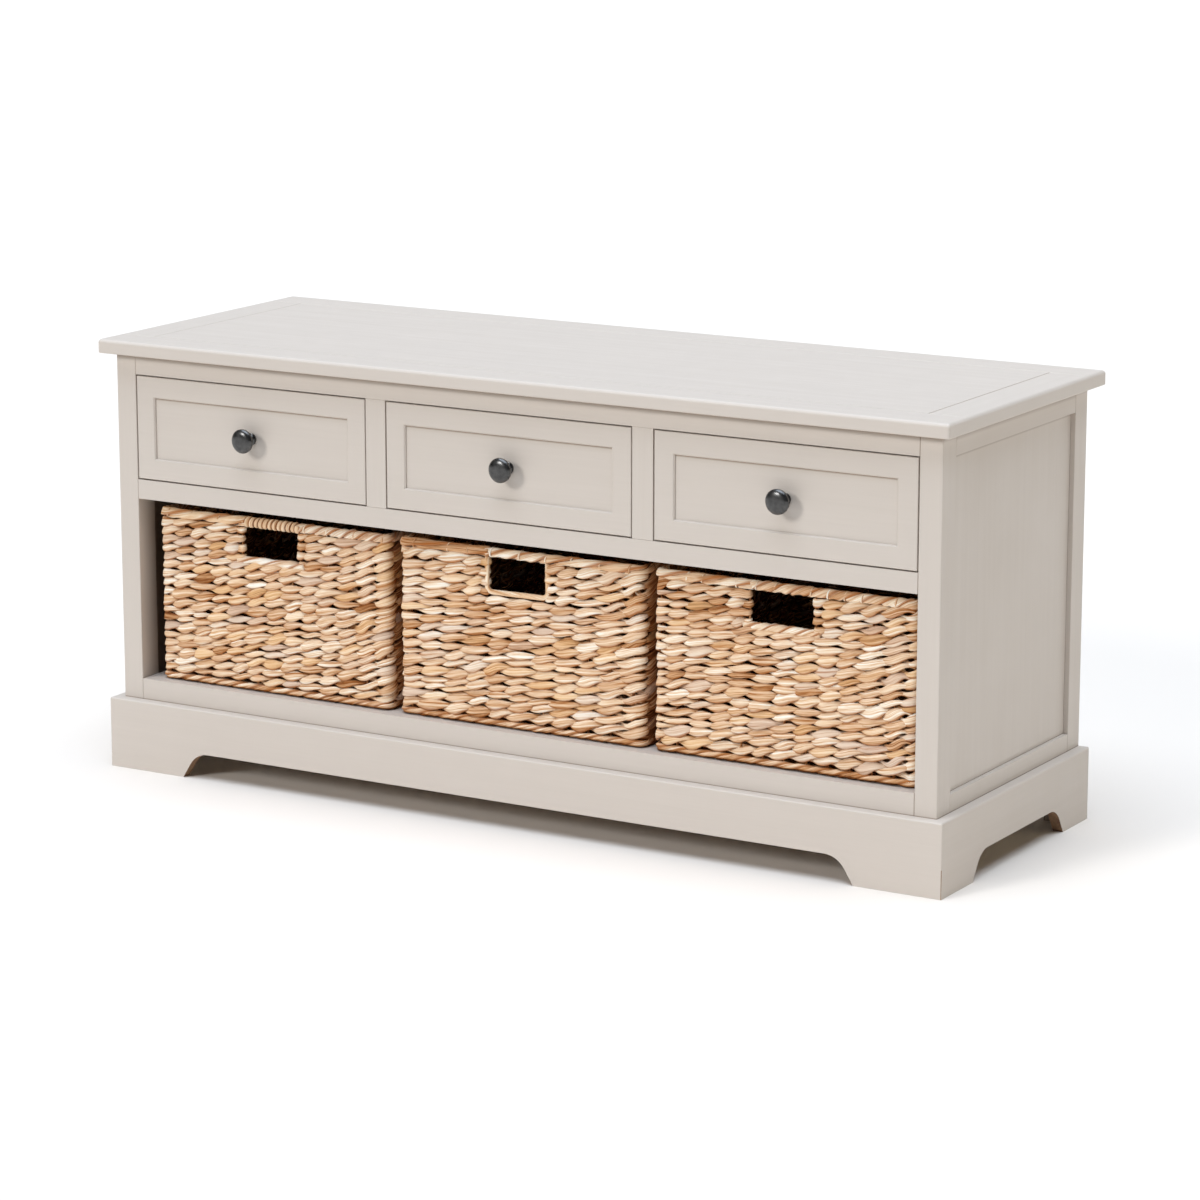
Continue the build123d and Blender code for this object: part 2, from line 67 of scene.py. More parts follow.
# ---- camera
CAMERA_AZIMUTH = math.radians(30.668)     # round the bench, from its front towards its right
CAMERA_ELEVATION = math.radians(12.591)
CAMERA_DISTANCE = 4.664                   # from the bench's middle
CAMERA_LENS = 126.167                     # focal length in mm
CAMERA_SENSOR = 36                        # width of the picture behind the lens in mm
CAMERA_ASIDE = 0.0111                     # camera moved sideways and up in its own frame
CAMERA_RAISE = -0.0279


def make_camera():
    """The camera at the photograph's viewing angle, aimed past the bench's middle."""
    sin_a, cos_a = math.sin(CAMERA_AZIMUTH), math.cos(CAMERA_AZIMUTH)
    sin_e, cos_e = math.sin(CAMERA_ELEVATION), math.cos(CAMERA_ELEVATION)
    back = Vector((sin_a * cos_e, -cos_a * cos_e, sin_e))
    right = Vector((cos_a, sin_a, 0))
    up = back.cross(right)
    data = bpy.data.cameras.new("camera")
    data.lens = CAMERA_LENS
    data.sensor_width = CAMERA_SENSOR
    camera = bpy.data.objects.new("camera", data)
    turn = Matrix((right, up, back)).transposed().to_4x4()
    place = middle + back * CAMERA_DISTANCE + right * CAMERA_ASIDE + up * CAMERA_RAISE
    camera.matrix_world = Matrix.Translation(place) @ turn
    bpy.context.scene.collection.objects.link(camera)
    bpy.context.scene.camera = camera


# ---- studio
WORLD_STRENGTH = 0.06
KEY_STRENGTH = 1.33
TOP_STRENGTH = 3.62
FILL_STRENGTH = 0.25
TOP_COLOUR = (0.89, 1.0, 1.16)
FILL_COLOUR = (1.0, 0.85, 0.53)
PAPER = (0.82, 0.755, 0.68)
FLOOR_HALF = 14.0            # floor to each side of the bench, front and back
FLOOR_BEND = 1.5             # radius of the bend between floor and wall
WALL_TOP = 6.0


def sun(name, origin, strength, softness, colour=(1, 1, 1)):
    """Light from the direction of origin; softness is the angle of its disc in degrees."""
    data = bpy.data.lights.new(name, "SUN")
    data.energy = strength
    data.color = colour
    data.angle = math.radians(softness)
    lamp = bpy.data.objects.new(name, data)
    lamp.rotation_euler = Vector(origin).to_track_quat("Z", "Y").to_euler()
    bpy.context.scene.collection.objects.link(lamp)


def make_studio():
    """Pale floor that bends up into a pale wall, soft light from the upper left and all round."""
    world = bpy.data.worlds.new("studio")
    world.use_nodes = True
    world.node_tree.nodes["Background"].inputs["Color"].default_value = (1.0, 1.0, 1.0, 1)
    world.node_tree.nodes["Background"].inputs["Strength"].default_value = WORLD_STRENGTH
    bpy.context.scene.world = world
    bpy.context.scene.view_settings.view_transform = "Standard"

    sun("key", (-1.35, -3.2, 1.6), KEY_STRENGTH, 16)
    sun("top", (0.08, -0.3, 3.0), TOP_STRENGTH, 60, TOP_COLOUR)
    sun("fill", (3.0, 0.6, 1.7), FILL_STRENGTH, 20, FILL_COLOUR)

    half, bend = FLOOR_HALF, FLOOR_BEND
    turns = [math.radians(a) for a in range(0, 91, 10)]
    profile = [(-half, 0.0)]
    profile += [(half - bend + bend * math.sin(a), bend - bend * math.cos(a)) for a in turns]
    profile += [(half, WALL_TOP)]
    corners = [(x, y, z) for y, z in profile for x in (-2 * half, 2 * half)]
    faces = [(2 * i, 2 * i + 1, 2 * i + 3, 2 * i + 2) for i in range(len(profile) - 1)]
    mesh = bpy.data.meshes.new("studio_floor")
    mesh.from_pydata(corners, [], faces)
    mesh.shade_smooth()
    floor = bpy.data.objects.new("studio_floor", mesh)
    bpy.context.scene.collection.objects.link(floor)
    paper = Shader("studio_paper")
    paper.set("Base Color", (*PAPER, 1))
    paper.set("Roughness", 0.9)
    mesh.materials.append(paper.material)


# ---- materials
class Shader:
    """A material under construction, with short names for the nodes it uses."""

    def __init__(self, name):
        self.material = bpy.data.materials.new(name)
        self.material.use_nodes = True
        self.tree = self.material.node_tree
        self.surface = self.tree.nodes["Principled BSDF"]

    def set(self, socket, value):
        self.surface.inputs[socket].default_value = value

    def feed(self, source, socket):
        self.tree.links.new(source, self.surface.inputs[socket])

    def node(self, kind, inputs=(), **settings):
        """Adds a node; inputs are (socket, value or source) pairs."""
        made = self.tree.nodes.new("ShaderNode" + kind)
        for key, value in settings.items():
            setattr(made, key, value)
        for socket, value in inputs:
            if isinstance(value, bpy.types.NodeSocket):
                self.tree.links.new(value, made.inputs[socket])
            else:
                made.inputs[socket].default_value = value
        return made

    def place(self):
        """Position in the piece's own space, so the pattern travels with the piece."""
        return self.node("TexCoord").outputs["Object"]

    def attribute(self, name, vector=False):
        made = self.node("Attribute", attribute_name=name)
        return made.outputs["Vector" if vector else "Fac"]

    def part(self, vector, axis):
        """One coordinate of a vector: 0 for X, 1 for Y, 2 for Z."""
        return self.node("SeparateXYZ", ((0, vector),)).outputs[axis]

    def noise(self, vector, scale, detail=3.0, roughness=0.55):
        """Noise with one scale, or with a scale for each axis."""
        if not isinstance(scale, float):
            inputs = (("Vector", vector), ("Scale", scale))
            vector, scale = self.node("Mapping", inputs).outputs["Vector"], 1.0
        inputs = (("Vector", vector), ("Scale", scale), ("Detail", detail),
                  ("Roughness", roughness))
        return self.node("TexNoise", inputs).outputs["Fac"]

    def calc(self, operation, first, second=0.0):
        inputs = ((0, first), (1, second))
        return self.node("Math", inputs, operation=operation).outputs["Value"]

    def times(self, first, second):
        return self.calc("MULTIPLY", first, second)

    def add(self, total, *terms):
        for term in terms:
            total = self.calc("ADD", total, term)
        return total

    def span(self, value, low, high, to_low=0.0, to_high=1.0):
        """Maps low..high to to_low..to_high, clamped."""
        inputs = (("Value", value), ("From Min", low), ("From Max", high),
                  ("To Min", to_low), ("To Max", to_high))
        return self.node("MapRange", inputs).outputs["Result"]

    def ramp(self, value, stops):
        """Colour from a value, by (position, colour) stops."""
        made = self.node("ValToRGB", (("Fac", value),))
        line = made.color_ramp
        while len(line.elements) < len(stops):
            line.elements.new(0.5)
        for element, (position, colour) in zip(line.elements, stops):
            element.position = position
            element.color = (*colour, 1)
        return made.outputs["Color"]

    def mix(self, factor, first, second):
        """Blend of two colours, each a colour or a source."""
        inputs = [(0, factor)]
        for socket, colour in ((6, first), (7, second)):
            inputs.append((socket, (*colour, 1) if isinstance(colour, tuple) else colour))
        return self.node("Mix", inputs, data_type="RGBA").outputs[2]

    def bump(self, height, strength, distance):
        inputs = (("Height", height), ("Strength", strength), ("Distance", distance))
        self.feed(self.node("Bump", inputs).outputs["Normal"], "Normal")


PAINT = ((0.612, 0.545, 0.480), (0.588, 0.522, 0.457))
PAINT_JOINT_SHADE = (0.250, 0.175, 0.120)  # brown lines where painted pieces meet: dark joints, and painted shade under overhangs and lips
JOINT_SHADE_SHARE = 0.8                    # of that brown in the middle of a line
BAY_SHADE = (0.115, 0.078, 0.052)       # painted shade inside the bay
BAY_SHADE_SHARE = 0.92                  # of that painted shade where it is darkest
BARE = ((0.40, 0.25, 0.145), (0.20, 0.105, 0.055))
BARE_HEIGHT = 31 * MM                 # cut edges of the plinth boards are bare below this
PINE = ((0.62, 0.44, 0.27), (0.44, 0.28, 0.15))
PLY = ((0.58, 0.42, 0.27), (0.46, 0.31, 0.18))
ACROSS, DEEP, UPRIGHT = 0, 1, 2       # axes: X, Y and Z


def along_grain(axis, along, across):
    """Scale of a pattern that runs along one axis."""
    scale = [across, across, across]
    scale[axis] = along
    return scale


def wood_colour(shader, place, axis, light, dark):
    """Colour of plain wood with its grain along an axis, and the height of its fibres."""
    warp = shader.noise(place, along_grain(axis, 3, 22), 2.0)
    rings = shader.noise(place, along_grain(axis, 5, 90), 4.0, 0.65)
    fibres = shader.noise(place, along_grain(axis, 30, 900))
    blend = shader.add(shader.times(warp, 0.5), rings, shader.times(fibres, 0.35))
    factor = shader.span(blend, 0.65, 1.2)
    return shader.mix(factor, light, dark), fibres


def joint_shade_share(shader, place, axis, level, reach):
    """How brown a piece is with dark joints and painted shade: most at a level along an axis, not
    at all where it is reach away.
    """
    distance = shader.calc("ABSOLUTE", shader.calc("SUBTRACT", shader.part(place, axis), level))
    return shader.span(distance, 0.3 * reach, reach, JOINT_SHADE_SHARE, 0.0)


def bay_shade_share(shader, place, half_width, front, back, end):
    """How much painted shade a piece has: not outside a room nor at its front, most from back to
    end.
    """
    aside = shader.calc("ABSOLUTE", shader.part(place, ACROSS))
    within = shader.span(aside, half_width + 0.4 * MM, half_width + 0.8 * MM, 1.0, 0.0)
    y = shader.part(place, DEEP)
    within = shader.times(within, shader.span(y, front, back, 0.0, BAY_SHADE_SHARE))
    return shader.times(within, shader.span(y, end + 0.4 * MM, end + 0.8 * MM, 1.0, 0.0))


def bare_share(shader, place, painted_axis):
    """1 at the feet on faces that don't look along the painted axis, 0 elsewhere."""
    normal = shader.node("TexCoord").outputs["Normal"]
    facing = shader.calc("ABSOLUTE", shader.part(normal, painted_axis))
    sideways = shader.span(facing, 0.4, 0.5, 1.0, 0.0)
    level = shader.part(place, UPRIGHT)
    return shader.times(sideways, shader.span(level, BARE_HEIGHT, BARE_HEIGHT + 1 * MM, 1.0, 0.0))


def painted_wood(name, axis, dark_lines=(), inside=None, painted_axis=None):
    """Satin paint over wood with its grain along axis. Dark lines are (axis, level, reach) of
    the brown lines where the piece meets another: dark joints, and painted shade under
    overhangs and lips. Inside is (half width, front, back, end) of the room that the piece
    bounds: its faces towards that room turn dark and brown with painted shade from the front
    to the back, and stay so up to the end. With a painted axis, faces at the feet that don't
    look along it are bare wood: the cut edges of the plinth boards."""
    shader = Shader(name)
    place = shader.place()
    grain = shader.noise(place, along_grain(axis, 9, 420), 4.0, 0.6)
    brush = shader.noise(place, along_grain(axis, 3, 85), 3.0, 0.6)
    cloud = shader.noise(place, 11.0, 3.0, 0.6)
    tint = shader.add(
        shader.times(grain, 0.45), shader.times(brush, 0.35), shader.times(cloud, 0.30)
    )
    colour = shader.mix(shader.span(tint, 0.38, 0.72), *PAINT)
    roughness = shader.span(shader.add(brush, cloud), 0.7, 1.3, 0.40, 0.54)
    height = shader.add(shader.times(grain, 0.7), shader.times(brush, 0.5))
    # Dark joints, and painted shade under overhangs and lips
    for dark_line in dark_lines:
        colour = shader.mix(joint_shade_share(shader, place, *dark_line), colour, PAINT_JOINT_SHADE)
    # Painted shade inside the bay
    if inside is not None:
        colour = shader.mix(bay_shade_share(shader, place, *inside), colour, BAY_SHADE)
    if painted_axis is not None:
        wood, fibres = wood_colour(shader, place, axis, *BARE)
        bare = bare_share(shader, place, painted_axis)
        colour = shader.mix(bare, colour, wood)
        roughness = shader.calc("MAXIMUM", roughness, shader.times(bare, 0.75))
        height = shader.add(height, shader.times(bare, fibres))
    shader.feed(colour, "Base Color")
    shader.feed(roughness, "Roughness")
    shader.set("Specular IOR Level", 0.42)
    shader.bump(height, 0.22, 0.25 * MM)
    return shader.material


def bare_wood(name, axis, light, dark):
    """Planed, unpainted wood with its grain along axis."""
    shader = Shader(name)
    place = shader.place()
    colour, fibres = wood_colour(shader, place, axis, light, dark)
    shader.feed(colour, "Base Color")
    shader.feed(shader.span(fibres, 0.3, 0.7, 0.55, 0.72), "Roughness")
    shader.bump(fibres, 0.3, 0.2 * MM)
    return shader.material


PEWTER = ((0.040, 0.039, 0.038), (0.080, 0.078, 0.076))
ZINC = ((0.52, 0.52, 0.50), (0.66, 0.66, 0.65))
WIRE_COATING = ((0.060, 0.030, 0.015), (0.110, 0.060, 0.032))


def dark_metal():
    """Cast knob with a dark pewter finish, rubbed a little lighter in patches."""
    shader = Shader("knob_pewter")
    place = shader.place()
    patches = shader.noise(place, 160.0, 4.0, 0.6)
    grit = shader.noise(place, 1500.0, 2.0)
    colour = shader.mix(shader.span(patches, 0.35, 0.7), *PEWTER)
    shader.feed(colour, "Base Color")
    shader.set("Metallic", 0.9)
    shader.set("Coat Weight", 0.7)
    shader.set("Coat Roughness", 0.20)
    shader.feed(shader.span(patches, 0.3, 0.7, 0.27, 0.35), "Roughness")
    shader.bump(shader.add(grit, patches), 0.07, 0.1 * MM)
    return shader.material


def steel():
    """Zinc-plated screws."""
    shader = Shader("steel_zinc")
    marks = shader.noise(shader.place(), (500, 500, 60))
    shader.feed(shader.mix(marks, *ZINC), "Base Color")
    shader.set("Metallic", 1.0)
    shader.feed(shader.span(marks, 0.3, 0.7, 0.28, 0.42), "Roughness")
    shader.bump(marks, 0.15, 0.1 * MM)
    return shader.material


def coated_wire():
    """Brown-coated wire in a basket's rim."""
    shader = Shader("wire_coated")
    marks = shader.noise(shader.place(), 300.0)
    shader.feed(shader.mix(marks, *WIRE_COATING), "Base Color")
    shader.set("Roughness", 0.55)
    shader.bump(marks, 0.15, 0.1 * MM)
    return shader.material


FIBRE_STOPS = (              # colours of the strands by tone, from dark to light
    (0.00, (0.140, 0.042, 0.010)),
    (0.15, (0.340, 0.130, 0.038)),
    (0.32, (0.560, 0.290, 0.128)),
    (0.50, (0.680, 0.420, 0.240)),
    (0.68, (0.795, 0.560, 0.365)),
    (0.84, (0.880, 0.705, 0.510)),
    (1.00, (0.970, 0.900, 0.780)),
)
FIBRE_GREY = (0.72, 0.58, 0.47)
FIBRE_GOLD = (0.84, 0.52, 0.235)
# dark lines in the fibre, and painted shade on the strands' lower edges
FIBRE_DARK_AND_SHADE = (0.400, 0.130, 0.026)
FOOT_SHADOW = (0.8 * MM, 4.2 * MM, -0.75)   # painted contact shadow at a basket's foot: from, to and its tone at the lowest


def woven_fibre():
    """Dried leaf strands: streaks along each strand, from the strand's own fibre coordinates.
    The lower edge of each strand has painted shade, and the baskets' feet a painted contact
    shadow."""
    shader = Shader("woven_leaf")
    fibre = shader.attribute("fibre", vector=True)
    tone = shader.attribute("tone")
    tint = shader.attribute("tint")
    edge = shader.attribute("edge")
    streaks = shader.noise(fibre, (11, 460, 60), 4.0, 0.65)
    veins = shader.noise(fibre, (36, 1300, 100))
    patches = shader.noise(fibre, (38, 260, 60), 3.0, 0.6)
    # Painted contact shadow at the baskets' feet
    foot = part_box("basket_left_walls")[0].z
    dark_from, dark_to, dark_tone = FOOT_SHADOW
    level = shader.part(shader.place(), UPRIGHT)
    value = shader.add(
        tone,
        shader.span(streaks, 0.32, 0.68, -0.42, 0.31),
        shader.span(veins, 0.32, 0.68, -0.13, 0.13),
        shader.span(patches, 0.25, 0.40, -0.20, 0.0),
        shader.span(level, foot + dark_from, foot + dark_to, dark_tone, 0.0),
    )
    colour = shader.ramp(value, FIBRE_STOPS)
    colour = shader.mix(shader.span(tint, 0.0, 1.0), colour, FIBRE_GREY)
    colour = shader.mix(shader.span(tint, 0.0, -1.0), colour, FIBRE_GOLD)
    # Fine dark lines along the streaks, and painted shade on each strand's lower edge
    dark_lines = shader.span(streaks, 0.32, 0.42, 0.65, 0.0)
    under = shader.span(edge, 0.62, 1.0, 0.0, 0.94)
    colour = shader.mix(shader.calc("MAXIMUM", dark_lines, under), colour, FIBRE_DARK_AND_SHADE)
    shader.feed(colour, "Base Color")
    shader.feed(shader.span(streaks, 0.3, 0.7, 0.80, 0.58), "Roughness")
    shader.set("Specular IOR Level", 0.15)
    height = shader.add(streaks, shader.times(veins, 0.4))
    shader.bump(height, 0.8, 0.7 * MM)
    return shader.material


PAINTED = (
    "paint_across", "centre_across", "rail_across", "panel_across", "plinth_across",
    "paint_deep", "rail_deep", "plinth_deep",
    "paint_upright", "back_upright", "post_upright", "panel_upright",
)
GRAINS = {"across": ACROSS, "deep": DEEP, "upright": UPRIGHT}   # by a finish's last word
PAINTED_AXES = {"plinth_across": DEEP, "plinth_deep": ACROSS}
NODE_FINISHES = (
    ("paint_across", ("top_rail_front", "top_rail_back", "bottom_shelf", "middle_shelf")),
    ("centre_across", ("top_panel",)),
    ("paint_deep", ("top_ends",)),
    ("paint_upright", ("divider_stiles",)),
    ("back_upright", ("back_panel",)),
    ("rail_across", ("front_rail_top", "front_rail_middle", "front_rail_bottom", "back_rails")),
    ("rail_deep", ("side_rails",)),
    ("post_upright", ("post_front_left", "post_front_right")),
    ("post_upright", ("post_back_left", "post_back_right")),
    ("panel_upright", ("side_panel_left", "side_panel_right")),
    ("plinth_across", ("plinth_front",)),
    ("plinth_deep", ("plinth_sides",)),
    ("pine_across", ("shelf_battens",)),
    ("pine_deep", ("drawer_partitions", "drawer_guides")),
    ("steel_zinc", ("top_screws",)),
)
DRAWER_FINISHES = {
    "front_frame": "paint_across",
    "front_panel": "panel_across",
    "sides": "pine_deep",
    "back": "pine_across",
    "bottom": "ply_deep",
    "knob": "knob_pewter",
    "knob_screw": "steel_zinc",
}
PANEL_TONGUE = 6 * MM      # how far a panel runs into the grooves of its frame
NAMES = ("left", "middle", "right")


def room_insides():
    """Room inside each painted finish that bounds the bay, where its faces get painted shade:
    half width, front, back, end.
    """
    bay_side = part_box("front_rail_middle")[1].x
    post_low, post_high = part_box("post_front_right")
    panel_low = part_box("side_panel_right")[0]
    back_low, back_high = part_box("back_panel")
    return {
        "back_upright": (back_high.x, back_low.y - 2 * MM, back_low.y - 1 * MM, back_low.y),
        "post_upright": (bay_side, post_low.y + 2 * MM, post_high.y + 12 * MM, back_low.y),
        "panel_upright": (panel_low.x, post_low.y, post_low.y + 1 * MM, back_low.y),
    }


def both(axis, low, high, reach):
    """The two creases at the ends of a stretch along an axis."""
    return (axis, low, reach), (axis, high, reach)


def joint_shade_lines():
    """Dark lines of each painted finish whose pieces meet others in view: dark joints, and
    painted shade. Those under the top and at the top of the side panels are painted shadow of an
    overhang or lip, and reach further, because an overhang hides their start."""
    under_top = (UPRIGHT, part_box("top_rail_front")[0].z, 7.5 * MM)
    under_end = (UPRIGHT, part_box("top_ends")[0].z, 9.5 * MM)
    on_plinth = (UPRIGHT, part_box("plinth_front")[1].z, 1.3 * MM)
    centre_low, centre_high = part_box("top_panel")
    rail_low, rail_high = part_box("front_rail_middle")
    deep_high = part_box("side_rails")[1]
    side_low, side_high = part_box("side_panel_right")
    drawer_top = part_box("drawer_left_front_panel")[1].z
    return {
        "centre_across": (
            *both(ACROSS, centre_low.x, centre_high.x, 1.0 * MM),
            *both(DEEP, centre_low.y, centre_high.y, 0.8 * MM),
        ),
        "post_upright": (under_top, on_plinth),
        "rail_across": (under_top, on_plinth, *both(ACROSS, rail_low.x, rail_high.x, 0.8 * MM)),
        "rail_deep": (under_end, on_plinth, (DEEP, deep_high.y, 1.6 * MM)),
        "panel_upright": (
            *both(DEEP, side_low.y + PANEL_TONGUE, side_high.y - PANEL_TONGUE, 0.9 * MM),
            (UPRIGHT, side_low.z + PANEL_TONGUE, 0.9 * MM),
            (UPRIGHT, side_high.z - PANEL_TONGUE, 4.6 * MM),
        ),
        "panel_across": ((UPRIGHT, drawer_top - PANEL_TONGUE, 2.6 * MM),),
    }


def finish_cad_nodes():
    """Gives every CAD node that stays in view its finish."""
    dark_lines, insides = joint_shade_lines(), room_insides()
    materials = {
        "pine_across": bare_wood("pine_across", ACROSS, *PINE),
        "pine_deep": bare_wood("pine_deep", DEEP, *PINE),
        "ply_deep": bare_wood("ply_deep", DEEP, *PLY),
        "knob_pewter": dark_metal(),
        "steel_zinc": steel(),
        "wire_coated": coated_wire(),
    }
    for name in PAINTED:
        axis = GRAINS[name.split("_")[-1]]
        materials[name] = painted_wood(
            name, axis, dark_lines.get(name, ()), insides.get(name), PAINTED_AXES.get(name)
        )
    finishes = {node: finish for finish, nodes in NODE_FINISHES for node in nodes}
    for name in NAMES:
        for piece, finish in DRAWER_FINISHES.items():
            finishes[f"drawer_{name}_{piece}"] = finish
        finishes[f"basket_{name}_rim_wire"] = "wire_coated"
    for node, finish in finishes.items():
        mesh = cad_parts[node].data
        mesh.materials.clear()
        mesh.materials.append(materials[finish])


# ---- strands
class Loop:
    """Closed route round a rounded rectangle, counter-clockwise from the middle of its back."""

    def __init__(self, centre, half_x, half_y, radius):
        a, b, quarter = half_x - radius, half_y - radius, radius * math.pi / 2
        steps = [0, a, quarter, 2 * b, quarter, 2 * a, quarter, 2 * b, quarter, a]
        self.knots = np.cumsum(steps)
        self.angles = np.radians([90, 90, 180, 180, 270, 270, 360, 360, 450, 450])
        self.arc_x = centre.x + a * np.array([0, -1, -1, -1, -1, 1, 1, 1, 1, 0])
        self.arc_y = centre.y + b * np.array([1, 1, 1, -1, -1, -1, -1, 1, 1, 1])
        self.radius = radius
        self.length = self.knots[-1]
        self.front_start = self.knots[3]
        self.front_end = self.knots[6]

    def at(self, s, depth, z):
        """Places at route length s, standing out by depth, at height z."""
        s = np.mod(s, self.length)
        angle = np.interp(s, self.knots, self.angles)
        reach = self.radius + depth
        x = np.interp(s, self.knots, self.arc_x) + reach * np.cos(angle)
        y = np.interp(s, self.knots, self.arc_y) + reach * np.sin(angle)
        return np.stack([x, y, np.broadcast_to(z, x.shape)], axis=-1)

    def out(self, s):
        angle = np.interp(np.mod(s, self.length), self.knots, self.angles)
        return np.stack([np.cos(angle), np.sin(angle), np.zeros_like(angle)], axis=-1)

    def front(self, x):
        """Route length of a place on the front side."""
        return self.knots[4] + (x - self.arc_x[4])


def unit(vectors):
    return vectors / np.linalg.norm(vectors, axis=-1, keepdims=True)


FLATNESS = 0.6               # of a strand's section: 1 is an ellipse, less is boxier
ROUGHNESS = 0.06             # share by which windings wander and vary in width
MAP_EDGE = 0.001             # free edges of the map and of each strip in it
STRIP_EDGE = 0.02


class Bundle:
    """Strands that become one mesh, with fibre coordinates, tones and a map of strips."""

    def __init__(self, seed):
        self.rng = np.random.default_rng(seed)
        self.places, self.faces, self.maps = [], [], []
        self.fibres, self.tones, self.tints, self.edges = [], [], [], []
        self.count = 0
        self.strips = 0

    def strand(self, places, half_across, half_out, out, tone,
               tint=0.0, sides=10, twist=0.0, shear=0.0):
        """A closed tube along places. Its section is half_across wide each side, square to
        out and the route, and half_out thick each side along out. Tint runs from -1, gold,
        to 1, grey. Twist turns the fibres, in radians to the metre. Shear slides one side of
        the section along the strand past the other."""
        n = len(places)
        along = np.gradient(places, axis=0)
        across = unit(np.cross(along, out))
        out = unit(np.cross(across, along))
        run = np.concatenate([[0], np.cumsum(np.linalg.norm(np.diff(places, axis=0), axis=1))])
        half_across = np.broadcast_to(half_across, n)
        half_out = np.broadcast_to(half_out, n)
        turn = np.arange(sides) * 2 * math.pi / sides
        cosine = np.cos(turn)
        sine = np.sign(np.sin(turn)) * np.abs(np.sin(turn)) ** FLATNESS
        lobes = self.rng.uniform(0, 2 * math.pi, 3)  # the third is drawn but not used
        drift = run[:, None] * self.rng.uniform(30, 70)
        swell = 1 + 0.08 * np.sin(2 * turn + lobes[0] + drift)
        swell = swell + 0.10 * np.sin(3 * turn + lobes[1] - drift)
        cos_part = (cosine * swell)[..., None] * half_across[:, None, None] * across[:, None]
        sin_part = (sine * swell)[..., None] * half_out[:, None, None] * out[:, None]
        ring = places[:, None] + cos_part + sin_part
        slide = cosine * np.broadcast_to(shear * half_across, n)[:, None]
        ring = ring - slide[..., None] * unit(along)[:, None]
        spun = turn[None] + twist * run[:, None]
        start = self.rng.uniform(0, 5)
        lengthwise = np.broadcast_to((run + start)[:, None], ring.shape[:2])
        crosswise = np.cos(spun) * half_across[:, None]
        inward = np.sin(spun) * half_out[:, None] + start
        fibre = np.stack([lengthwise, crosswise, inward], axis=-1)
        self.add_faces(n, sides)
        self.add_map(n, sides)
        self.places.append(ring.reshape(-1, 3))
        self.fibres.append(fibre.reshape(-1, 3))
        self.tones.append(np.repeat(np.broadcast_to(tone, n), sides))
        self.tints.append(np.repeat(np.broadcast_to(tint, n), sides))
        self.edges.append(np.tile(cosine, n))

    def add_faces(self, n, sides):
        """Faces of a tube of n rings, and of its two ends."""
        first = self.count + np.arange(n * sides).reshape(n, sides)
        following = np.roll(first, -1, axis=1)
        quads = np.stack([first[:-1], following[:-1], following[1:], first[1:]], axis=-1)
        self.faces += quads.reshape(-1, 4).tolist()
        self.faces += [first[0, ::-1].tolist(), first[-1].tolist()]
        self.count += n * sides

    def add_map(self, n, sides):
        """Map of a tube of n rings: one strip, as wide as the map, above the strips so far."""
        u = np.linspace(MAP_EDGE, 1 - MAP_EDGE, n)
        v = np.arange(sides + 1) / sides
        corner_u = np.stack([u[:-1], u[:-1], u[1:], u[1:]], axis=-1)
        corner_v = np.stack([v[:-1], v[1:], v[1:], v[:-1]], axis=-1)
        shape = (n - 1, sides, 4)
        corners = [np.broadcast_to(corner_u[:, None], shape), np.broadcast_to(corner_v, shape)]
        strip = np.stack(corners, axis=-1).reshape(-1, 2)
        start = np.stack([np.full(sides, MAP_EDGE), v[:-1][::-1]], axis=-1)
        end = np.stack([np.full(sides, 1 - MAP_EDGE), v[:-1]], axis=-1)
        strip = np.concatenate([strip, start, end])
        self.maps.append(strip * (1, 1 - 2 * STRIP_EDGE) + (0, self.strips + STRIP_EDGE))
        self.strips += 1

    def helix(self, route, s0, s1, lay, radius, half_across, half_out, tone, shade,
              phase=0.0, tint=0.0, sides=10, step=1.5 * MM, twist=0.0):
        """A strand wound round a route, once in each lay. route(s, depth, rise) gives places,
        and out is the direction from the route to the strand. shade(s) is taken off its tone."""
        lead = math.hypot(lay, 2 * math.pi * radius)
        n = max(8, int(abs(s1 - s0) * lead / lay / step))
        s = np.linspace(s0, s1, n)
        turn = phase + 2 * math.pi * (s - s0) / lay
        wander = radius * (1 + ROUGHNESS * np.sin(turn * 0.37 + self.rng.uniform(0, 6)))
        places = route(s, wander * np.cos(turn), wander * np.sin(turn))
        out = unit(places - route(s, 0 * s, 0 * s))
        wave = 1 + ROUGHNESS * np.sin(turn * 0.61 + self.rng.uniform(0, 6))
        tone = tone - shade(s)
        self.strand(places, half_across * wave, half_out, out, tone, tint, sides, twist)

    def make(self, name, body, slot, material, replaced):
        """The finished piece, riding a body."""
        mesh = bpy.data.meshes.new(name)
        mesh.from_pydata(np.concatenate(self.places), [], self.faces)
        strips = np.concatenate(self.maps) / (1, self.strips)
        strand_map = mesh.uv_layers.new(name="OFBake")
        strand_map.uv.foreach_set("vector", strips.astype(np.float32).ravel())
        fibre = mesh.attributes.new("fibre", "FLOAT_VECTOR", "POINT")
        fibre.data.foreach_set("vector", np.concatenate(self.fibres).astype(np.float32).ravel())
        for label, values in (("tone", self.tones), ("tint", self.tints), ("edge", self.edges)):
            data = mesh.attributes.new(label, "FLOAT", "POINT").data
            data.foreach_set("value", np.concatenate(values).astype(np.float32))
        mesh.shade_smooth()
        mesh.materials.append(material)
        piece = bpy.data.objects.new(name, mesh)
        bpy.context.scene.collection.objects.link(piece)
        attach(piece, body)
        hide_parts(*replaced)


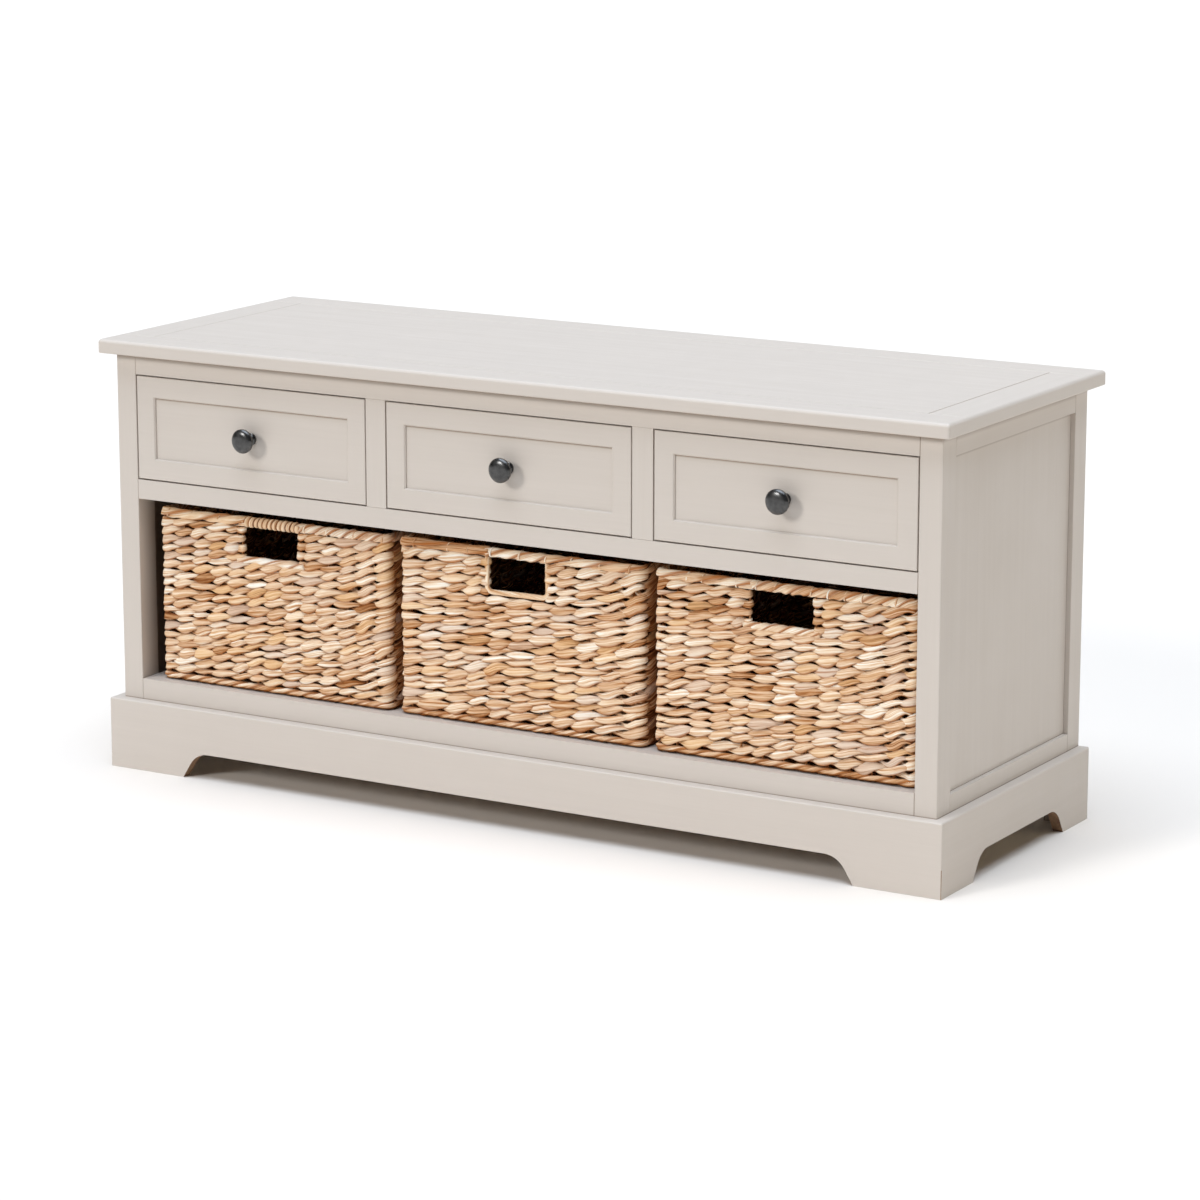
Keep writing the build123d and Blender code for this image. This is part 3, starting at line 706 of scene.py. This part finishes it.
# ---- baskets
BORDER_STEP = 2.5 * MM       # border at the foot stands out from the wall by this
WALL = 7 * MM                # thickness of the woven wall
CORNER = 9 * MM              # radius of the woven wall's outer corners
HANDLE_WIDTH = 72 * MM
HANDLE_HEIGHT = 34 * MM
HANDLE_OFFSET = -3 * MM      # handle's middle from the basket's middle
SILLS = {"left": 6 * MM, "middle": 9.5 * MM, "right": 7 * MM}   # hole down to the next row
FOOT = 10 * MM               # border's height, under the first row
LOWER_ROWS = 14              # rows of twining under the sill, and above that beside the hole
UPPER_ROWS = 4
ROW_HEIGHT = 10 * MM         # of an average row
STAKES = {"left": 48, "middle": 42, "right": 46}
SEEDS = {"left": 11, "middle": 23, "right": 37}

TWINE_DEPTH = 2.6 * MM       # the two strands of a row swing in and out round the stakes
TWINE_RISE = 1.95 * MM       # and up and down
LEAN = 0.20                  # strands lean, their lower edge over the row below
STRAND_HALF_WIDTH = 5.2 * MM
STRAND_HALF_DEPTH = 1.8 * MM
NARROWS = {"left": 0.43, "middle": 0.41, "right": 0.40}   # share of width left at crossings
CORNER_SHARE = 90 * MM       # stretch before the front's right corner with steeper floats
SIDE_SHARE = 25 * MM         # how far the front's mesh goes round each corner
SIDE_SHADE = 0.44               # painted shade: tone that the sides and the back have less than the front
SIDE_SHADE_FADE = 14 * MM       # stretch over which it goes, from the front's left corner on
SIDE_SHADE_LEAD = 7 * MM        # and from this far before the front's right corner

TURN_RADIUS = 2.5 * MM       # of a strand round a stake at the edge of the handle hole
TURN_HALF_WIDTHS = {1: 3.9 * MM, -1: 2.6 * MM}   # there, in front of the stake and behind it
HOLE_EDGE = 4 * MM           # no whole stake so close to the hole, which has its own
STAKE_HALF_WIDTH = 1.3 * MM
STAKE_HALF_DEPTH = 1.1 * MM
STAKE_TONE = 0.16
FRONT_DETAIL = (12, 10)      # of its strands: places along each pitch of the stakes, and sides
BODY_DETAIL = (8, 8)

SILL_DROP = 4.4 * MM         # lower edge of the handle hole: its strands' middle below the hole
SILL_REACH = 9 * MM          # and their ends beyond it
FRAME_EDGE = 2.4 * MM        # middle basket's frame of the hole: its middle beside the hole
FRAME_CORNER = 7 * MM        # and its radius at the corners
RIM_CORE = 3.4 * MM          # half thickness of the strand round the rim's wire
BORDER_OUT = 1.6 * MM        # border's middle from the wall's middle
BORDER_RISE = 4.5 * MM       # and above the foot
BORDER_TONES = {"left": (0.64, 0.74), "middle": (0.58, 0.68), "right": (0.46, 0.58)}
BASE_PITCH = 8.6 * MM        # of the strands of the bottom, from front to back
BASE_WAVE = 26 * MM          # half wave of their rise and fall
BASE_RISE = 3.4 * MM         # their middle above the foot


def smooth(x):
    x = np.clip(x, 0, 1)
    return x * x * (3 - 2 * x)


def between(values, t, sharpness=1.0):
    """Value at real float number t, blended between neighbouring floats."""
    first = np.floor(t).astype(int)
    share = smooth((t - first - 0.5) * sharpness + 0.5)
    count = len(values)
    return values[first % count] * (1 - share) + values[(first + 1) % count] * share


def half_turn(part, end, around, way):
    """What follows one end of a strand: half a turn round a stake, from front to back."""
    place, _, level, width, *same = (values[end] for values in part)
    share = (np.pi / 2 - around) / np.pi
    s = place + way * TURN_RADIUS * np.cos(around)
    depth = TURN_RADIUS * np.sin(around)
    height = level + share * 2 * MM
    half_width = np.full(len(around), width) * (1 - 0.35 * share)
    return (s, depth, height, half_width, *(np.full(len(around), value) for value in same))


class Basket:
    """One basket: its places from the CAD boxes, and the functions that weave it. Its walls are
    rows of twining: two strands that pass in front of every other stake by turns. Lines 2n and
    2n + 1 are the strands of row n, and a float is one pass of a strand in front of a stake."""

    def __init__(self, name):
        self.name = name
        low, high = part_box(f"basket_{name}_walls")
        centre = (low + high) / 2
        self.low = low.z
        self.wall_top = high.z
        self.rim_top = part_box(f"basket_{name}_rim")[1].z
        half_x = (high.x - low.x) / 2 - BORDER_STEP - WALL / 2
        half_y = (high.y - low.y) / 2 - BORDER_STEP - WALL / 2
        self.loop = Loop(centre, half_x, half_y, CORNER - WALL / 2)
        self.stakes = STAKES[name]
        self.pitch = self.loop.length / self.stakes
        hole_x, front = centre.x + HANDLE_OFFSET, self.loop.front
        self.hole = (front(hole_x - HANDLE_WIDTH / 2), front(hole_x + HANDLE_WIDTH / 2))
        self.hole_low = self.wall_top - HANDLE_HEIGHT
        self.sill_low = self.hole_low - SILLS[name]
        self.rng = np.random.default_rng(SEEDS[name])
        self.plan_rows()
        self.plan_floats()

    def plan_rows(self):
        """Middle height of each row, and its size compared with an average row."""
        stretches = (
            (self.low + FOOT, self.sill_low, LOWER_ROWS),
            (self.sill_low, self.wall_top, UPPER_ROWS),
        )
        self.levels, self.sizes = [], []
        for low, high, count in stretches:
            share = self.rng.uniform(0.80, 1.20, count)
            size = (high - low) * share / share.sum()
            self.levels += list(low + np.cumsum(size) - size / 2)
            self.sizes += list(size / ROW_HEIGHT)
        self.lines = 2 * len(self.levels)

    def plan_floats(self):
        """Chance values for every float, and for the rows' waves. Tones run on over three
        floats, and a few stray far lighter or darker."""
        rng, shape = self.rng, (self.lines, self.stakes // 2)
        runs = rng.normal(0, 1, (self.lines, self.stakes // 6 + 2))
        run_tone = np.repeat(runs, 3, axis=1)[:, : shape[1]]
        odd = rng.random(shape)
        stray = 0.14 * (odd > 0.93) - 0.24 * (odd < 0.07)
        tone = 0.70 + 0.075 * run_tone + 0.07 * rng.normal(0, 1, shape) + stray
        self.float_tone = np.clip(tone, 0.14, 0.86)
        kind = rng.random(shape)
        grey = 0.7 * (kind < 0.14) * rng.random(shape)
        gold = 0.5 * (kind > 0.78) * rng.random(shape)
        self.float_tint = grey - gold
        self.float_width = np.clip(1.01 + 0.15 * rng.normal(0, 1, shape), 0.70, 1.45)
        self.float_slant = 0.55 * MM * rng.normal(0, 1, shape)
        self.float_rise = 0.65 * MM * rng.normal(0, 1, shape)
        self.float_shear = 0.15 + 0.3 * rng.normal(0, 1, shape)
        self.float_depth = np.clip(1 + 0.2 * rng.normal(0, 1, shape), 0.6, 1.45)
        self.wave = rng.uniform(0, 2 * math.pi, 3)
        self.sways = rng.uniform(0, 2 * math.pi, (self.lines // 2, 2))

    def float_number(self, line, s):
        """Real number of the float at s: whole where the strand is at a float's middle."""
        angle = 2 * math.pi * s / self.loop.length
        first, second = self.sways[line // 2]
        sway = 0.05 * np.sin(5 * angle + self.wave[2] + 60 * self.levels[line // 2])
        sway += 0.045 * np.sin(11 * angle + first) + 0.03 * np.sin(19 * angle + second)
        return (s / self.pitch + line) / 2 + sway

    def line(self, line, s):
        """Depth, height, half widths, tone, tint and shear along s of one strand of a row."""
        level, size = self.levels[line // 2], self.sizes[line // 2]
        t = self.float_number(line, s)
        # Swing is 1 in front of a stake and -1 behind one; climb goes up and down between them.
        swing, climb = np.cos(2 * math.pi * t), np.sin(2 * math.pi * t)
        outer, inner = np.maximum((swing + 0.3) / 1.3, 0), np.maximum(-swing, 0)
        depth = TWINE_DEPTH * np.tanh(1.6 * (swing + 0.35)) / math.tanh(1.6)
        depth = depth * between(self.float_depth[line], t) + 0.5 * MM * climb
        width = size * between(self.float_width[line], t)
        narrow = NARROWS[self.name]
        shape = narrow + (1 - narrow) * outer**1.2 + 0.30 * inner**2
        half_width = STRAND_HALF_WIDTH * width * shape
        half_depth = STRAND_HALF_DEPTH * (0.80 + 0.30 * outer)

        # Rows bow most half way up, and lie straight at the foot and under the sill.
        share = np.clip((level - self.low - FOOT) / (self.sill_low - self.low - FOOT), 0, 1)
        angle = 2 * math.pi * s / self.loop.length
        bow = 1.2 * np.sin(3 * angle + self.wave[0] + 2.2 * share)
        bow += 0.8 * np.sin(7 * angle + self.wave[1] - 3.1 * share)
        height = level + 4 * share * (1 - share) * bow * MM
        height = height + between(self.float_rise[line], t)
        steep = 1 + 1.2 * smooth(1 - (self.loop.front_end - s) / CORNER_SHARE)
        rise = TWINE_RISE * size * steep + between(self.float_slant[line], t)
        height = height + rise * climb
        # Painted shade: darker where a strand passes behind the stakes, and round the sides and
        # back
        tone = between(self.float_tone[line], t, 5.0) - 0.24 * inner - self.shade(s)
        tint = between(self.float_tint[line], t, 5.0)
        shear = between(self.float_shear[line], t)
        return depth, height, half_width, half_depth, tone, tint, shear

    def shade(self, s):
        """Painted shade: how much darker a strand is at s than in front, all round the sides and
        the back.
        """
        s = np.mod(s, self.loop.length)
        before, behind = self.loop.front_start - s, s - self.loop.front_end + SIDE_SHADE_LEAD
        return SIDE_SHADE * smooth(np.maximum(before, behind) / SIDE_SHADE_FADE)

    def weave(self, bundle, line, s, sides, turn_start=None, turn_end=None):
        """One strand of a row along s. turn_start and turn_end are -1 or 1 where the strand
        ends at the handle hole: 1 wraps round the hole's edge stake, -1 stops behind it."""
        depth, height, half_width, half_depth, tone, tint, shear = self.line(line, s)
        level, size = self.levels[line // 2], self.sizes[line // 2]
        for place, mark in ((s[0], turn_start), (s[-1], turn_end)):
            if mark is None:
                continue
            near = smooth(1 - np.abs(s - place) / (0.5 * self.pitch))
            depth = depth * (1 - near) + mark * TURN_RADIUS * near
            half_width = half_width * (1 - near) + TURN_HALF_WIDTHS[mark] * size * near
            height = height * (1 - near) + level * near
            shear = shear * (1 - near)
        parts = [(s, depth, height, half_width, half_depth, tone, tint, shear)]
        around = np.radians(np.linspace(70, -90, 7))
        if turn_end == 1:
            parts.append(half_turn(parts[0], -1, around, 1))
        if turn_start == 1:
            parts.insert(0, half_turn(parts[0], 0, around[::-1], -1))
        joined = [np.concatenate(values) for values in zip(*parts)]
        s, depth, height, half_width, half_depth, tone, tint, shear = joined
        places = self.loop.at(s, depth, height)
        out = unit(self.wrap_out(s, depth, parts, turn_start, turn_end) + (0, 0, LEAN))
        bundle.strand(places, half_width, half_depth, out, tone, tint, sides, 0, shear)

    def wrap_out(self, s, depth, parts, turn_start, turn_end):
        """Outward directions of a strand, which swing round with it at the hole's edges."""
        out = self.loop.out(s)
        side = np.stack([-out[:, 1], out[:, 0], out[:, 2]], axis=-1)
        ends = []
        if turn_end == 1:
            ends.append((slice(-len(parts[-1][0]), None), parts[-2][0][-1]))
        if turn_start == 1:
            ends.append((slice(len(parts[0][0])), parts[1][0][0]))
        for end, place in ends:
            lean = (s[end] - place)[:, None]
            out[end] = unit(side[end] * lean + out[end] * depth[end, None])
        return out

    def make(self, bundle, piece, material, replaced):
        """A bundle as a piece of the basket, in the place of one of its CAD nodes."""
        body = f"basket_{self.name}"
        bundle.make(f"{body}_{piece}", body, "woven_fibre", material, [f"{body}_{replaced}"])

    def front_span(self):
        return self.loop.front_start - SIDE_SHARE, self.loop.front_end + SIDE_SHARE

    def build_front(self, material):
        """The front wall with its corners and handle hole."""
        bundle = Bundle(SEEDS[self.name] + 100)
        start, end = self.front_span()
        density, sides = FRONT_DETAIL
        for line in range(self.lines):
            if self.levels[line // 2] < self.sill_low:
                self.weave(bundle, line, self.samples(start, end, density), sides)
                continue
            edges = self.rng.uniform(2.4, 5.0, 2) * MM
            left = self.samples(start, self.hole[0] - edges[0], density)
            right = self.samples(self.hole[1] + edges[1], end, density)
            self.weave(bundle, line, left, sides, turn_end=self.facing(line, self.hole[0]))
            self.weave(bundle, line, right, sides, turn_start=self.facing(line, self.hole[1]))
        self.add_stakes(bundle, start, end)
        self.add_sill(bundle)
        self.make(bundle, "weave_front", material, "walls")

    def facing(self, line, s):
        """1 where the strand is in front of the stakes at s, -1 where it is behind them."""
        return 1 if math.cos(2 * math.pi * self.float_number(line, s)) > 0 else -1

    def add_sill(self, bundle):
        """The lower edge of the handle hole, different on each basket."""
        level = self.hole_low - SILL_DROP
        start, end = self.hole[0] - SILL_REACH, self.hole[1] + SILL_REACH
        route = self.route(0.8 * MM, level)
        if self.name == "left":
            self.rope(bundle, route, (start, end, 64, 1.5, 4.4, 2.2, (0.80, 0.90), 0.15))
        elif self.name == "right":
            self.rope(bundle, route, (start, end, 40, 1.5, 3.9, 2.4, (0.70, 0.82), 0.0))
        else:
            self.add_hole_frame(bundle, level)

    def add_hole_frame(self, bundle, level):
        """One smooth strand down the sides and along the lower edge of the handle hole."""
        radius = FRAME_CORNER
        left, right = self.hole[0] - FRAME_EDGE, self.hole[1] + FRAME_EDGE
        arc = np.radians(np.linspace(0, 90, 7))
        side = np.linspace(self.wall_top, level + radius, 8)
        run = np.linspace(left + radius, right - radius, 16)[1:-1]
        s = [np.full(8, left), left + radius - radius * np.cos(arc[1:]), run,
             right - radius + radius * np.sin(arc), np.full(7, right)]
        z = [side, level + radius - radius * np.sin(arc[1:]), np.full(14, level),
             level + radius - radius * np.cos(arc), side[::-1][1:]]
        s, z = np.concatenate(s), np.concatenate(z)
        tone = 0.80 + 0.05 * np.sin(s * 90)
        places = self.loop.at(s, np.full(len(s), 1.4 * MM), z)
        bundle.strand(places, 2.9 * MM, 2.6 * MM, self.loop.out(s), tone, -0.2, 10, 60)

    def build_body(self, material):
        """The other three walls."""
        bundle = Bundle(SEEDS[self.name] + 200)
        end, start = self.front_span()
        end += self.loop.length
        density, sides = BODY_DETAIL
        for line in range(self.lines):
            self.weave(bundle, line, self.samples(start, end, density), sides)
        self.add_stakes(bundle, start, end)
        self.make(bundle, "weave_body", material, "walls")

    def samples(self, start, end, density):
        """Route lengths from start to end, density of them in each pitch of the stakes."""
        return np.linspace(start, end, max(6, int((end - start) / self.pitch * density)))

    def add_stakes(self, bundle, start, end):
        """The upright stakes that the strands pass round."""
        for s in self.pitch * np.arange(math.ceil(start / self.pitch), end / self.pitch):
            top = self.wall_top
            if self.hole[0] - HOLE_EDGE < s % self.loop.length < self.hole[1] + HOLE_EDGE:
                top = self.hole_low - 2 * MM
            self.stake(bundle, s, self.low + 2 * MM, top)
        for s, way in ((self.hole[0], -1), (self.hole[1], 1)):
            if start < s < end:
                self.stake(bundle, s + way * 3 * MM, self.hole_low - 4 * MM, self.wall_top)

    def stake(self, bundle, s, low, top):
        s, z = np.full(4, s), np.linspace(low, top, 4)
        places, out = self.loop.at(s, 0 * s, z), self.loop.out(s)
        bundle.strand(places, STAKE_HALF_WIDTH, STAKE_HALF_DEPTH, out, STAKE_TONE, sides=6)

    def route(self, depth, level):
        """A route for windings, parallel to the middle line of the wall."""
        return lambda s, out, rise: self.loop.at(s, depth + out, level + rise)

    def rope(self, bundle, route, winding):
        """Strands laid round each other, one for each tone. A winding is its start and end,
        its lay, radius and strands' half widths across and out in mm, its tones and tint."""
        start, end, lay, radius, half_across, half_out, tones, tint = winding
        for i, tone in enumerate(tones):
            phase = 2 * math.pi * i / len(tones)
            bundle.helix(route, start, end, lay * MM, radius * MM, half_across * MM,
                         half_out * MM, tone, self.shade, phase, tint, twist=40)

    def build_rim(self, material):
        """Rope round the wire at the top, with ties, different on each basket."""
        bundle = Bundle(SEEDS[self.name] + 300)
        level = (self.wall_top + self.rim_top) / 2
        route = self.route(0, level)
        core = self.samples(0, self.loop.length, 6)
        places, out = self.loop.at(core, 0 * core, level), self.loop.out(core)
        bundle.strand(places, RIM_CORE, RIM_CORE, out, 0.2, sides=8)
        left, right = self.hole
        corner = self.loop.front_start
        round_back = self.loop.length + corner
        windings = {
            "left": (
                (right + 1 * MM, round_back, 38, 2.2, 4.6, 2.8, (0.74, 0.84), 0.25),
                (corner, left + 2 * MM, 96, 2.3, 4.9, 2.8, (0.76, 0.84), -0.25),
            ),
            "middle": (
                (right, round_back, 88, 2.3, 4.8, 2.7, (0.74, 0.84), -0.1),
                (corner, left, 170, 2.3, 4.8, 2.7, (0.52, 0.42), 0.0),
                (left - 4 * MM, right + 3 * MM, 60, 2.2, 4.6, 2.7, (0.84, 0.76), 0.0),
            ),
            "right": (
                (left, round_back, 42, 2.2, 4.7, 2.8, (0.82, 0.62), 0.0),
                (corner, left + 2 * MM, 90, 2.3, 4.8, 2.8, (0.84, 0.76), 0.0),
            ),
        }
        for winding in windings[self.name]:
            self.rope(bundle, route, winding)
        if self.name == "left":
            bundle.helix(route, left - 1 * MM, right + 2 * MM, 6.2 * MM, 4.3 * MM, 2.6 * MM,
                         1.9 * MM, 0.82, self.shade, tint=-0.25, sides=8, step=0.9 * MM)
        self.add_stitches(bundle, route)
        self.make(bundle, "rim_rope", material, "rim")

    def add_stitches(self, bundle, route):
        """Thin ties round the rim, in irregular steps."""
        s = 0.0
        while s < self.loop.length - 20 * MM:
            s += self.rng.uniform(14, 44) * MM
            if self.hole[0] - 6 * MM < s < self.hole[1] + 2 * MM and self.name == "left":
                continue
            turn = self.rng.uniform(3, 6) * MM
            tone = self.rng.uniform(0.45, 0.92)
            bundle.helix(route, s, s + turn, turn, 4.9 * MM, 1.2 * MM, 0.7 * MM, tone,
                         self.shade, math.pi, sides=6)

    def build_border(self, material):
        """The thick rope round the foot."""
        bundle = Bundle(SEEDS[self.name] + 400)
        route = self.route(BORDER_OUT, self.low + BORDER_RISE)
        tones = BORDER_TONES[self.name]
        self.rope(bundle, route, (0, self.loop.length, 48, 1.5, 3.1, 2.3, tones, 0.0))
        self.make(bundle, "border", material, "walls")

    def build_base(self, material):
        """The woven bottom: flat strands from side to side that rise and fall by turns."""
        bundle = Bundle(SEEDS[self.name] + 500)
        low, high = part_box(f"basket_{self.name}_base")
        level = self.low + BASE_RISE
        rows = int((high.y - low.y) / BASE_PITCH)
        x = np.linspace(low.x, high.x, 90)
        up = np.tile((0.0, 0.0, 1.0), (len(x), 1))
        for row in range(rows):
            y = low.y + (row + 0.5) * (high.y - low.y) / rows
            swing = np.cos(math.pi * (x / BASE_WAVE + row))
            z = level + 0.7 * MM * swing
            places = np.stack([x, np.full_like(x, y), z], axis=-1)
            tone = 0.62 + 0.12 * self.rng.normal() + 0.05 * np.sin(x * 60 + row)
            bundle.strand(places, 4.6 * MM, 1.7 * MM, up, tone, sides=8, twist=10)
        self.make(bundle, "bottom_weave", material, "base")


# ---- making
make_camera()
make_studio()
finish_cad_nodes()
fibre_material = woven_fibre()
for basket_name in NAMES:
    basket = Basket(basket_name)
    basket.build_front(fibre_material)
    basket.build_body(fibre_material)
    basket.build_rim(fibre_material)
    basket.build_border(fibre_material)
    basket.build_base(fibre_material)
